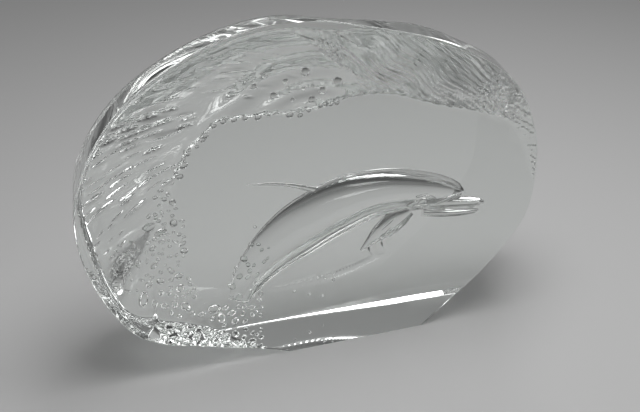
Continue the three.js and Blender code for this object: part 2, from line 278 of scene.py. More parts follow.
# Columns and rows of the moulded back: from, to and step
COLUMNS = [
    (-83, -74, 0.5), (-74, -36, 0.38), (-36, -10, 0.42), (-10, 42, 0.42), (42, 84, 0.42), (84, 112, 0.8),
]
ROWS = [(0, 3, 0.4), (3, 28, 0.5), (28, 44, 0.5), (44, 74, 0.42), (74, 120, 0.4), (120, 125, 0.6)]
PATCH = 8  # cells on a side of a patch, or one wide cell where the back is flat
ROUND_DETAIL = (24, 14)  # sides and rings of the eye and the drops
MARK_DETAIL = (16, 24)
SMOOTH_BELOW = 48  # degrees between faces that shade as one surface
MOST_TRIANGLES = 199000

# Light from all round, by height above the level: a mid grey horizon, dark walls, a pale ceiling
SKY_STEPS = ((0.0, "707070"), (0.12, "383838"), (0.32, "464646"), (0.5, "868686"), (1.0, "BABABA"))

# Lamps, in metres: where they hang, and their width and length
OVERHEAD_SOFTBOX = ((0.05, -0.06, 0.47), (0.38, 0.32))
BACK_SOFTBOX = ((0.32, 0.42, 0.5), (0.2, 0.16))
LAMPS_AIM = (0, 0, 0.05)

# The floor, in metres: half its width, and how far it lies below the base
FLOOR_HALF = 3.0
FLOOR_GAP = 0.0003
GLASS_BOUNCES = 24
MIRROR_BOUNCES = 12

# The camera: what the photograph shows of its place
PICTURE = (640, 412)
AIM_IN_PICTURE = (307, 183)  # the pixel that the aim point falls on
AIM_BACK = 10  # millimetres behind the face
AIM_UP = 61.5  # millimetres above the base
PIXELS_PER_MM = 2.85
CAMERA_DISTANCE = 330.0
CAMERA_AZIMUTH = -19.5
CAMERA_ELEVATION = 24
SENSOR = 36
NEAREST_SEEN = 0.01


def smoothstep(value, low, high):
    """0 below low, 1 above high and an even ramp between."""
    t = np.clip((value - low) / (high - low), 0, 1)
    return t * t * (3 - 2 * t)


def spline(points, count, closed):
    """Points along a smooth curve through the given ones, as many in each span as in the next.

    The slope at a point follows the gaps to its neighbours, so that the curve makes no loops."""
    p = np.asarray(points, float)
    if closed:
        p = np.vstack([p[-1:], p, p[:2]])
    else:
        p = np.vstack([2 * p[:1] - p[1:2], p, 2 * p[-1:] - p[-2:-1]])
    spans = len(p) - 3
    t = np.linspace(0, spans, count, endpoint=not closed)
    i = np.minimum(t.astype(int), spans - 1)
    w = (t - i)[:, None]
    a, b, c, d = p[i], p[i + 1], p[i + 2], p[i + 3]
    gaps = (np.sqrt(np.linalg.norm(v - u, axis=1)) for u, v in ((a, b), (b, c), (c, d)))
    before, here, after = (np.maximum(gap, TINY)[:, None] for gap in gaps)
    leave = ((b - a) / before - (c - a) / (before + here) + (c - b) / here) * here
    arrive = ((c - b) / here - (d - b) / (here + after) + (d - c) / after) * here
    square, cube = 3 * (c - b) - 2 * leave - arrive, 2 * (b - c) + leave + arrive
    return b + leave * w + square * w**2 + cube * w**3


def loop(points, count):
    """A closed smooth curve as evenly spaced points."""
    fine = spline(points, 40 * len(points), True)
    ring = np.vstack([fine, fine[:1]])
    run = np.concatenate([[0], np.cumsum(np.linalg.norm(np.diff(ring, axis=0), axis=1))])
    at = np.linspace(0, run[-1], count, endpoint=False)
    return np.column_stack([np.interp(at, run, ring[:, k]) for k in (0, 1)])


def inside(outline, x, z):
    """Distance from each point to a closed outline, negative outside it."""
    along = np.roll(outline, -1, axis=0) - outline
    out = np.empty(x.size)
    flat = np.column_stack([x.ravel(), z.ravel()])
    batch = 8000
    for first in range(0, len(flat), batch):
        q = flat[first:first + batch, None, :] - outline[None]
        t = np.clip((q * along).sum(2) / (along**2).sum(1), 0, 1)
        near = np.sqrt(((q - t[..., None] * along) ** 2).sum(2).min(1))
        below = q[..., 1] < 0
        crosses = below != (q[..., 1] < along[None, :, 1])
        slope = along[:, 0] / np.where(along[:, 1] == 0, TINY, along[:, 1])
        left = q[..., 0] < q[..., 1] * slope
        within = (crosses & left).sum(1) % 2 == 1
        out[first:first + batch] = np.where(within, near, -near)
    return out.reshape(x.shape)


def grain(x, z, seed):
    """Smooth random values from -1 to 1, one hill or hollow to each unit square."""
    squares = 256
    table = np.random.RandomState(seed).uniform(-1, 1, (squares, squares))
    ix, iz = np.floor(x).astype(int), np.floor(z).astype(int)
    fx, fz = x - ix, z - iz
    fx, fz = fx * fx * (3 - 2 * fx), fz * fz * (3 - 2 * fz)

    def row(up):
        left, right = (table[(ix + across) % squares, (iz + up) % squares] for across in (0, 1))
        return left * (1 - fx) + right * fx

    return row(0) * (1 - fz) + row(1) * fz


def heading(x, z):
    """Direction of the water at each point, as a unit vector, from the nearest currents."""
    across = np.zeros_like(x)
    up = np.zeros_like(x)
    for cx, cz, degrees in CURRENTS:
        share = 1 / ((x - cx) ** 2 + (z - cz) ** 2 + CURRENT_BLEND) ** CURRENT_FALL
        across += share * math.cos(math.radians(degrees))
        up += share * math.sin(math.radians(degrees))
    size = np.hypot(across, up)
    return across / size, up / size


def add_stroke(xs, zs, height, line, thickness, rise):
    """Raises one tapered ridge along a line, steep on its right-hand side and easy on its left."""
    reach = STREAK_REACH * thickness
    low, high = line.min(0) - reach, line.max(0) + reach
    i0, i1 = np.searchsorted(xs, (low[0], high[0]))
    j0, j1 = np.searchsorted(zs, (low[1], high[1]))
    if i1 <= i0 or j1 <= j0:
        return
    x, z = np.meshgrid(xs[i0:i1], zs[j0:j1])
    away = np.stack([x, z], axis=-1)[..., None, :] - line
    near = (away**2).sum(-1).argmin(-1)
    along = np.gradient(line, axis=0)
    along /= np.linalg.norm(along, axis=1)[:, None]
    at = np.take_along_axis(away, near[..., None, None], axis=2)[..., 0, :]
    side = along[near, 0] * at[..., 1] - along[near, 1] * at[..., 0]
    run = along[near, 0] * at[..., 0] + along[near, 1] * at[..., 1]
    t = near / (len(line) - 1)
    taper = np.sin(np.pi * np.clip(t, 0, 1)) ** STREAK_TAPER
    width = thickness * np.where(side < 0, *STREAK_SIDES) * (STREAK_TIP + (1 - STREAK_TIP) * taper)
    height[j0:j1, i0:i1] += rise * taper * np.exp(-(side / width) ** 2 - (run / thickness) ** 2)


def scatter(random, bed, gap_along, gap_across, tries):
    """Places in an elliptical bed, kept apart by one gap along the water and another across it."""
    cx, cz, rx, rz = bed
    places = []
    for _ in range(tries):
        turn, far = random.uniform(0, 2 * np.pi), math.sqrt(random.uniform())
        x, z = cx + rx * far * math.cos(turn), cz + rz * far * math.sin(turn)
        ux, uz = (float(v[0]) for v in heading(np.array([x]), np.array([z])))
        along = ((ux * (x - a) + uz * (z - b)) / gap_along for a, b in places)
        across = ((ux * (z - b) - uz * (x - a)) / gap_across for a, b in places)
        if all(u**2 + v**2 > 1 for u, v in zip(along, across)):
            places.append((x, z))
    return places


def drift(x, z, length, count=16):
    """A line of the given length that follows the water both ways from a place."""
    halves = []
    for sign in (1, -1):
        px, pz = np.array([x]), np.array([z])
        half = []
        for _ in range(count // 2):
            dx, dz = heading(px, pz)
            px, pz = px + sign * dx * length / count, pz + sign * dz * length / count
            half.append((px[0], pz[0]))
        halves.append(half)
    return np.array(halves[1][::-1] + [(x, z)] + halves[0])


class Block:
    """The block's measurements and the depth of glass behind its face."""

    def __init__(self, sizes, wave):
        self.sizes, self.wave = sizes, wave
        self.width, self.height = sizes.face_width / MM, sizes.face_height / MM
        self.depth = sizes.depth / MM
        self.heart = np.array([HEART[0] * self.width, HEART[1] * self.height])
        self.face = loop([(u * self.width, v * self.height) for u, v in OUTLINE], OUTLINE_POINTS)
        away = self.face - self.heart
        run = self.around(FLANK_RUN, self.face[:, 0], self.face[:, 1]) / np.linalg.norm(away, axis=1)
        self.back = self.heart + away * (1 + run)[:, None]
        self.middle = loop(MIDDLE, MIDDLE_POINTS)

    def around(self, measures, x, z):
        """A measure given at every eighth of a turn, eased between them for the direction of each point."""
        turn = np.arctan2(z - self.heart[1], x - self.heart[0])
        eighths = EIGHTHS / 2 * turn / np.pi + EIGHTHS
        first = np.floor(eighths).astype(int)
        share = 0.5 - 0.5 * np.cos(np.pi * (eighths - first))
        table = np.asarray(measures, float)
        return table[first % EIGHTHS] * (1 - share) + table[(first + 1) % EIGHTHS] * share

    def turn_round_eye(self, x, z):
        """Turn of each point round the eye of the wave, from level at the right."""
        return np.arctan2(z - EYE_OF_WAVE[1], x - EYE_OF_WAVE[0])

    def wave_share(self, x, z):
        """1 where the wave shows, on the left and top, and 0 at the right."""
        turn = self.turn_round_eye(x, z)
        return np.where(turn > 0, smoothstep(turn, *WAVE_STARTS), smoothstep(-turn, *WAVE_ENDS))

    def lip_share(self, x, z):
        """1 under the curling lip, fading out towards the foam and the right."""
        turn = self.turn_round_eye(x, z)
        return np.where(turn > 0, smoothstep(turn, *WAVE_STARTS) * (1 - smoothstep(turn, *LIP_ENDS)), 0)

    def lip(self, beyond, x, z):
        """Step down from the flat middle to the wave, with a scalloped edge."""
        scallop = sum(deep * grain(x / broad, z / broad, seed) for deep, broad, seed in SCALLOPS)
        past = np.maximum(beyond + scallop * smoothstep(beyond, *SCALLOPS_START), 0)
        return self.wave.lip_step / MM * self.lip_share(x, z) * smoothstep(past, *LIP_WIDTH)

    def rounding(self, to_rim):
        """What the rounded back edge takes off near the rim."""
        radius = self.sizes.back_round / MM
        edge = np.clip(radius - to_rim, 0, radius)
        return radius - np.sqrt(radius**2 - edge**2)

    def ground_edge(self, x, z):
        """What the ground edge at the back of the base takes off, more of it to the right."""
        narrow, wide = CHAMFER_SHARES
        share = narrow + (wide - narrow) * smoothstep(x, *CHAMFER_WIDENS)
        return self.sizes.base_chamfer / MM * share * (1 - np.clip(z / (CHAMFER_RISE * share), 0, 1))

    def swells(self, x, z, share, to_rim):
        """Height of the broad swells that run round the block in a spiral."""
        turn = self.turn_round_eye(x, z)
        turn = np.where(turn < -0.5 * np.pi, turn + 2 * np.pi, turn)
        right, left = SWELL_LEAN
        lean = right + (left - right) * smoothstep(turn, *LEAN_CHANGES)
        reach = np.log(np.hypot(x - EYE_OF_WAVE[0], z - EYE_OF_WAVE[1]) / self.height + SWELLS_TIGHTEST)
        fade = smoothstep(share, *SWELLS_RISE) * smoothstep(to_rim, *SWELLS_AT_RIM)
        fade *= 1 - smoothstep(x, *SWELLS_END)
        crests = np.cos(SWELL_COUNT * (turn - lean * reach))
        return self.wave.swell_height / MM * self.wave_share(x, z) * fade * crests

    def glass_depth(self, x, z):
        """Depth of glass from the polished face to the moulded back, without the streaks."""
        to_rim = np.maximum(inside(self.back, x, z), 0)
        beyond = np.maximum(-inside(self.middle, x, z), 0)
        share = beyond / (beyond + to_rim + TINY)
        step = self.lip(beyond, x, z)
        fall = self.depth - step - self.around(RIM_DEPTH, x, z)
        slope = fall * share ** self.around(SLOPE_EASE, x, z)
        plain = self.depth - step - slope - self.rounding(to_rim) - self.ground_edge(x, z)
        return plain + self.swells(x, z, share, to_rim)

    def relief(self, xs, zs):
        """Height of the streaks of water over the moulded back."""
        random = np.random.RandomState(STREAK_SEED)
        height = np.zeros((len(zs), len(xs)))
        self.add_streaks(xs, zs, height, random)
        self.add_crest(xs, zs, height, random)
        height += self.combed_water(*np.meshgrid(xs, zs))
        for points in WAKE:
            add_stroke(xs, zs, height, spline(points, WAKE_POINTS, False), WAKE_WIDTH, WAKE_HEIGHT)
        return height

    def add_streaks(self, xs, zs, height, random):
        """Short streaks of water that follow the currents, in their beds."""
        for *bed, gap, length, thickness, rise in STREAK_BEDS:
            for x, z in scatter(random, bed, STREAK_SPACING * length, gap, STREAK_TRIES):
                size = random.uniform(*STREAK_SIZES)
                line = drift(x, z, length * random.uniform(*STREAK_LENGTHS))
                way = random.choice(STREAK_WAYS)
                add_stroke(xs, zs, height, line, thickness * size, rise * size * way)

    def add_crest(self, xs, zs, height, random):
        """Long streaks side by side along the crest."""
        crest = spline(CREST, CREST_POINTS, False)
        along = np.gradient(crest[:, :2], axis=0)
        across = np.column_stack([-along[:, 1], along[:, 0]]) / np.linalg.norm(along, axis=1)[:, None]
        for lane in np.repeat(np.linspace(-1, 1, CREST_LANES), CREST_STREAKS):
            start = random.randint(*CREST_STARTS)
            span = slice(start, start + random.randint(*CREST_LENGTHS))
            shift = crest[span, 2:] * (lane + CREST_WANDER * random.normal())
            line = crest[span, :2] + across[span] * shift
            add_stroke(xs, zs, height, line[::2], CREST_THICKNESS, random.uniform(*CREST_HEIGHTS))

    def combed_water(self, x, z):
        """Slanting lines of water at the right of the lip, with speckle towards its tip."""
        beyond = -inside(self.middle, x, z)
        band = smoothstep(beyond, *COMB_STARTS) * (1 - COMB_THINNED * smoothstep(beyond, *COMB_THINS))
        band = band * smoothstep(x, *COMB_LEFT_END)
        wander, wander_length, wander_seed = COMB_WANDER
        across = x * math.sin(COMB_TURN) + z * math.cos(COMB_TURN)
        across = across + wander * grain(x / wander_length, z / wander_length, wander_seed)
        along = x * math.cos(COMB_TURN) - z * math.sin(COMB_TURN)
        loss, break_length, break_breadth, break_seed = COMB_BREAKS
        broken = 1 - loss + loss * grain(along / break_length, across / break_breadth, break_seed)
        comb = np.cos(2 * np.pi * across / COMB_GAP) * broken
        comb = comb * (1 - COMB_RIGHT_LOSS * smoothstep(x, *COMB_RIGHT_END))
        speckle_height, speckle_size, speckle_seed = SPECKLE
        speckle = grain(x / speckle_size, z / speckle_size, speckle_seed) * smoothstep(x, *SPECKLE_STARTS)
        return band * (COMB_HEIGHT * comb + speckle * speckle_height)

    def lip_beads(self):
        """Round drops strung along the edge of the curling lip."""
        random = np.random.RandomState(BEAD_SEED)
        left, right = BEADS_ACROSS
        sideways, lift, up_and_down = BEAD_SPREAD
        beads = []
        run = 0.0
        for (x, z), (nx, nz) in zip(self.middle, np.roll(self.middle, -1, axis=0)):
            run -= math.hypot(nx - x, nz - z)
            if z > BEADS_ABOVE and left < x < right and run < 0:
                radius = random.uniform(*BEAD_RADIUS)
                shift = random.normal() * up_and_down
                beads.append((x + sideways * random.normal(), z + lift + shift, radius))
                run = BEAD_GAPS[0] * radius + random.exponential(BEAD_GAPS[1])
        depth = self.depth_at(beads)
        stretch, tilt = BEAD_SHAPE
        return [(x, y - BEAD_SUNK * r, z, r, r * stretch, tilt) for (x, z, r), y in zip(beads, depth)]

    def depth_at(self, places):
        """Depth of glass at a list of places that begin with x and z."""
        return self.glass_depth(*np.array([p[:2] for p in places], float).T)

    def drops(self):
        """Hollow drops thrown off the lip."""
        return [(x, y + DROP_RAISED * r, z, r, r, 0) for (x, z, r), y in zip(DROPS, self.depth_at(DROPS))]

    def bubbles(self):
        """Bubbles sunk into the back, and bubbles that stand off it, none touching another."""
        random = np.random.RandomState(FOAM_SEED)
        placed = []
        for cx, cz, rx, rz, count, smallest, largest, stretch in FOAM_BEDS:
            made = 0
            for _ in range(count * FOAM_TRIES):
                turn, far = random.uniform(0, 2 * np.pi), math.sqrt(random.uniform())
                x, z = cx + rx * far * math.cos(turn), cz + rz * far * math.sin(turn)
                radius = smallest + (largest - smallest) * random.uniform() ** 2
                reach = radius * random.uniform(1, stretch)
                apart = all(math.hypot(x - a, z - b) > reach + c + FOAM_GAP for a, b, _, c, *_ in placed)
                if apart and z > reach + FOAM_FROM_BASE and made < count:
                    tilt = random.normal() * FOAM_TILT
                    placed.append((x, z, radius, reach, tilt, random.uniform() < SUNK_FOAM_SHARE))
                    made += 1
        within = inside(self.back, *np.array([p[:2] for p in placed]).T) > FOAM_FROM_RIM
        sunk, proud = [], []
        for (x, z, radius, reach, tilt, is_sunk), y, good in zip(placed, self.depth_at(placed), within):
            kind, into = (sunk, SUNK_FOAM_DEPTH) if is_sunk else (proud, PROUD_FOAM_DEPTH)
            if good:
                kind.append((x, y - into * radius, z, radius, reach, tilt))
        return sunk, proud

    def flank_bubbles(self):
        """Bubbles sunk into the flank where it rises from the base under the foam."""
        random = np.random.RandomState(FLANK_FOAM_SEED)
        left, right = FLANK_FOAM_ACROSS
        low, high = FLANK_FOAM_UP
        radii, more = FLANK_FOAM_FROM_BASE
        edge = [i for i, (x, z) in enumerate(self.face) if left < x < right and low < z < high]
        placed = []
        for _ in range(FLANK_FOAM * FLANK_FOAM_TRIES):
            i, y = edge[random.randint(len(edge))], random.uniform(*FLANK_FOAM_BACK)
            x, z = self.face[i] + (self.back[i] - self.face[i]) * y / self.depth
            radius = random.uniform(*FLANK_FOAM_RADIUS)
            apart = all(math.hypot(x - a, y - b) > FLANK_FOAM_SPACING * (radius + c) for a, b, _, c in placed)
            deepest = self.depth_at([(x, z)])[0] - FLANK_FOAM_FROM_BACK
            if apart and z > radii * radius + more and y < deepest and len(placed) < FLANK_FOAM:
                placed.append((x, y, z, radius))
        thickness, length, tilt = FLANK_FOAM_SHAPE
        return [(x, y, z, radius * thickness, radius * length, tilt) for x, y, z, radius in placed]


def mesh_object(name, vertices, faces):
    """A new mesh object, with vertices given in millimetres."""
    mesh = bpy.data.meshes.new(name)
    mesh.from_pydata((np.asarray(vertices, float) * MM).tolist(), [], faces)
    mesh.update()
    obj = bpy.data.objects.new(name, mesh)
    bpy.context.scene.collection.objects.link(obj)
    return obj


def ring_skin(name, rings):
    """Closed skin over a stack of rings with the same number of points."""
    sides = len(rings[0])
    faces = []
    for r in range(len(rings) - 1):
        for i in range(sides):
            a, b = r * sides + i, r * sides + (i + 1) % sides
            faces.append((a, b, b + sides, a + sides))
    last = (len(rings) - 1) * sides
    faces.append(tuple(range(sides))[::-1])
    faces.append(tuple(range(last, last + sides)))
    return face_outwards(mesh_object(name, np.vstack(rings), faces))


def face_outwards(obj):
    """Turns the faces of a closed mesh to the outside."""
    bpy.context.view_layer.objects.active = obj
    obj.select_set(True)
    bpy.ops.object.mode_set(mode="EDIT")
    bpy.ops.mesh.select_all(action="SELECT")
    bpy.ops.mesh.normals_make_consistent(inside=False)
    bpy.ops.object.mode_set(mode="OBJECT")
    obj.select_set(False)
    return obj


def combine(target, tool, operation):
    """Joins, cuts or trims target by tool, and removes the tool. Faces left by the tool get index 1."""
    for obj in (target, tool):
        while len(obj.data.materials) < 2:
            obj.data.materials.append(None)
    tool.data.polygons.foreach_set("material_index", [1] * len(tool.data.polygons))
    modifier = target.modifiers.new(operation.lower(), "BOOLEAN")
    modifier.object = tool
    modifier.operation = operation
    modifier.solver = "MANIFOLD"
    bpy.context.view_layer.update()
    result = bpy.data.meshes.new_from_object(target.evaluated_get(bpy.context.evaluated_depsgraph_get()))
    target.modifiers.clear()
    old = target.data
    target.data = result
    bpy.data.meshes.remove(old)
    bpy.data.objects.remove(tool)
    if not len(result.polygons):
        raise RuntimeError(f"{operation} left {target.name} empty")


def make_flank(block):
    """The outline drawn back from the polished face, with a rounded bevel at the face."""
    def ring(y, inset):
        shifted = block.face + (block.back - block.face) * (y / block.depth)
        away = shifted - block.heart
        flat = block.heart + away * (1 - inset / np.linalg.norm(away, axis=1))[:, None]
        return np.column_stack([flat[:, 0], np.full(len(flat), y), flat[:, 1]])

    bevel = block.sizes.face_bevel / MM
    turns = [math.radians(turn) for turn in BEVEL_TURNS]
    rings = [ring(bevel * (1 - math.cos(turn)), bevel * (1 - math.sin(turn))) for turn in turns]
    rings.append(ring(block.depth + OVERSHOOT, 0))
    return ring_skin("flank", rings)


def grid_lines(spans):
    """Coordinates whose spacing is set span by span: (start, end, step)."""
    parts = [np.arange(start, end, step) for start, end, step in spans]
    return np.append(np.concatenate(parts), spans[-1][1])


def moulded_back(block, xs, zs):
    """Depth of glass with the streaks at each column and row, and which patches are flat all over."""
    x, z = np.meshgrid(xs, zs)
    y = block.glass_depth(x, z) + block.relief(xs, zs) * smoothstep(inside(block.back, x, z), *STREAKS_AT_RIM)
    flat = np.abs(y - block.depth) < TINY
    high, wide = (len(zs) - 1) // PATCH, (len(xs) - 1) // PATCH
    whole = [[flat[PATCH * r:PATCH * (r + 1) + 1, PATCH * c:PATCH * (c + 1) + 1].all() for c in range(wide)]
             for r in range(high)]
    return np.column_stack([x.ravel(), y.ravel(), z.ravel()]), np.array(whole)


def patch_faces(index, whole):
    """Small cells where a patch is carved, and one wide cell that meets them where it is flat."""
    framed = np.pad(whole, 1)
    faces = []
    for r, c in np.ndindex(whole.shape):
        tile = index[PATCH * r:PATCH * (r + 1) + 1, PATCH * c:PATCH * (c + 1) + 1]
        if whole[r, c]:
            sides = [(tile[0, ::-1], framed[r, c + 1]), (tile[:, 0], framed[r + 1, c]),
                     (tile[-1], framed[r + 2, c + 1]), (tile[::-1, -1], framed[r + 1, c + 2])]
            faces.append([int(v) for side, plain in sides for v in (side[:1] if plain else side[:-1])])
        else:
            corners = [tile[:-1, :-1], tile[1:, :-1], tile[1:, 1:], tile[:-1, 1:]]
            faces += np.stack(corners, axis=2).reshape(-1, 4).tolist()
    return faces


def make_back_slab(block):
    """A slab whose rear face is the moulded back, with small cells only where it is carved."""
    xs, zs = (v[:len(v) - (len(v) - 1) % PATCH] for v in (grid_lines(COLUMNS), grid_lines(ROWS)))
    vertices, whole = moulded_back(block, xs, zs)
    index = np.arange(len(vertices)).reshape(len(zs), len(xs))
    faces = patch_faces(index, whole)
    left, right, top, front = xs[0], xs[-1], zs[-1], -1
    corners = [(x, front, z) for x, z in ((left, 0), (right, 0), (right, top), (left, top))]
    n = len(vertices)
    edges = (index[0], index[:, -1], index[-1, ::-1], index[::-1, 0])
    faces.append([n, n + 1, n + 2, n + 3])
    faces += [[n + (k + 1) % 4, n + k] + edge.tolist() for k, edge in enumerate(edges)]
    used = np.unique(np.concatenate([np.asarray(f) for f in faces]))
    renumber = np.zeros(n + 4, int)
    renumber[used] = np.arange(len(used))
    faces = [renumber[f].tolist() for f in faces]
    return face_outwards(mesh_object("back_slab", np.vstack([vertices, corners])[used], faces))


def make_limb(name, stations, block, rings=60, sides=40):
    """A smooth limb lying in the flat of the back, through stations of centre, half height and half depth."""
    points = np.asarray(stations, float)
    centre = spline(points[:, :2], rings, False)
    measure = spline(points[:, 2:], rings, False)
    along = np.gradient(centre, axis=0)
    along /= np.linalg.norm(along, axis=1)[:, None]
    stack = []
    for c, (high, deep), a in zip(centre, measure, along):
        turn = np.linspace(0, 2 * np.pi, sides, endpoint=False)
        rise = high * np.cos(turn)
        sink = deep * np.sign(np.sin(turn)) * np.abs(np.sin(turn)) ** LIMB_SOFTNESS
        stack.append(np.column_stack([c[0] - a[1] * rise, block.depth + sink, c[1] + a[0] * rise]))
    return ring_skin(name, stack)


def make_balls(name, balls, sides=14, rings=9):
    """Several separate rounded blobs as one mesh: x, y, z, radius, reach along x and tilt each."""
    vertices, faces = [], []
    for cx, cy, cz, radius, reach, tilt in balls:
        first = len(vertices)
        for r in range(1, rings):
            polar = math.pi * r / rings
            for i in range(sides):
                turn = 2 * math.pi * i / sides
                across, up = reach * math.sin(polar) * math.cos(turn), radius * math.cos(polar)
                vertices.append((cx + across * math.cos(tilt) - up * math.sin(tilt),
                                 cy + radius * math.sin(polar) * math.sin(turn),
                                 cz + across * math.sin(tilt) + up * math.cos(tilt)))
        top = len(vertices)
        vertices += [(cx - radius * math.sin(tilt), cy, cz + radius * math.cos(tilt)),
                     (cx + radius * math.sin(tilt), cy, cz - radius * math.cos(tilt))]
        for i in range(sides):
            j = (i + 1) % sides
            faces.append((top, first + i, first + j))
            faces.append((top + 1, first + (rings - 2) * sides + j, first + (rings - 2) * sides + i))
            for r in range(rings - 2):
                a, b = first + r * sides + i, first + r * sides + j
                faces.append((a, a + sides, b + sides, b))
    return face_outwards(mesh_object(name, vertices, faces))


def linear(hex_colour):
    """sRGB hex to linear red, green and blue."""
    channels = [int(hex_colour[i:i + 2], 16) / 255 for i in (0, 2, 4)]
    return tuple(c / 12.92 if c <= 0.04045 else ((c + 0.055) / 1.055) ** 2.4 for c in channels)


def add_node(tree, kind, settings=None, links=None):
    """Adds one node, sets its settings and input values, and links its inputs."""
    node = tree.nodes.new(kind)
    for name, value in (settings or {}).items():
        if name in node.inputs:
            node.inputs[name].default_value = value
        else:
            setattr(node, name, value)
    for name, source in (links or {}).items():
        tree.links.new(source, node.inputs[name])
    return node


def paint_ramp(ramp, steps):
    """Sets a colour ramp's stops: (position, sRGB hex)."""
    elements = ramp.color_ramp.elements
    while len(elements) < len(steps):
        elements.new(0.5)
    for element, (position, colour) in zip(elements, steps):
        element.position = position
        element.color = (*linear(colour), 1)


def new_material(name, values):
    """A material with one shader, given the values of the shader's inputs."""
    material = bpy.data.materials.new(name)
    material.use_nodes = True
    shader = material.node_tree.nodes["Principled BSDF"]
    for key, value in values.items():
        shader.inputs[key].default_value = value
    return material


def clear_cast_glass(look):
    """Clear crystal glass, cast hot in a mould and polished on the face and base.

    It is see-through with a faint grey-green cast in its depth, and its own surfaces bend and mirror
    the surroundings, which is all the colour it shows."""
    values = {"Base Color": (*look.tint, 1), "Roughness": look.roughness, "IOR": look.ior}
    values["Transmission Weight"] = 1
    return new_material("clear_crystal_glass_cast_and_polished", values)


def matt_paper(colour):
    """Plain matt backdrop paper, which gives an even pale floor."""
    return new_material("matt_backdrop_paper", {"Base Color": (*colour, 1), "Roughness": 0.7})


class BlockSizes(bpy.types.PropertyGroup):
    face_width: FloatProperty(name="Face width", description="Width that the face outline is drawn to",
                              default=165 * MM, unit="LENGTH")
    face_height: FloatProperty(name="Face height", description="Base to the top of the wave",
                               default=122.5 * MM, unit="LENGTH")
    depth: FloatProperty(name="Depth", description="Polished face to the flat middle of the back",
                         default=43 * MM, unit="LENGTH")
    back_round: FloatProperty(name="Back round", description="Radius of the moulded back edge",
                              default=2 * MM, unit="LENGTH")
    face_bevel: FloatProperty(name="Face bevel", description="Rounding at the edge of the face",
                              default=0.8 * MM, unit="LENGTH")
    base_chamfer: FloatProperty(name="Base chamfer", description="Ground edge at the back of the base",
                                default=1.6 * MM, unit="LENGTH")


class WaveSizes(bpy.types.PropertyGroup):
    lip_step: FloatProperty(name="Lip step", description="Height of the wave's lip",
                            default=2.2 * MM, unit="LENGTH")
    swell_height: FloatProperty(name="Swell height", description="Half height of the broad swells",
                                default=0.6 * MM, unit="LENGTH")


class GlassLook(bpy.types.PropertyGroup):
    tint: FloatVectorProperty(name="Tint", description="Colour of light passed by the glass", subtype="COLOR",
                              default=linear("F8FBF9"), min=0, max=1)
    ior: FloatProperty(name="Index of refraction", description="1.52 to 1.56 for crystal glass", default=1.52)
    roughness: FloatProperty(name="Roughness", description="0 is a fire polish", default=0.0, min=0, max=1)


class StageLook(bpy.types.PropertyGroup):
    floor_colour: FloatVectorProperty(name="Floor", description="Colour of the floor", subtype="COLOR",
                                      default=linear("B4B4B4"), min=0, max=1)
    sky: FloatProperty(name="Sky", description="Brightness of the even light all round", default=1.0)
    lamp_power: FloatProperty(name="Lamp power", description="Power of the main soft light",
                              default=1.65, unit="POWER")
    back_power: FloatProperty(name="Back lamp power", description="Power of the small lamp behind",
                              default=0.4, unit="POWER")


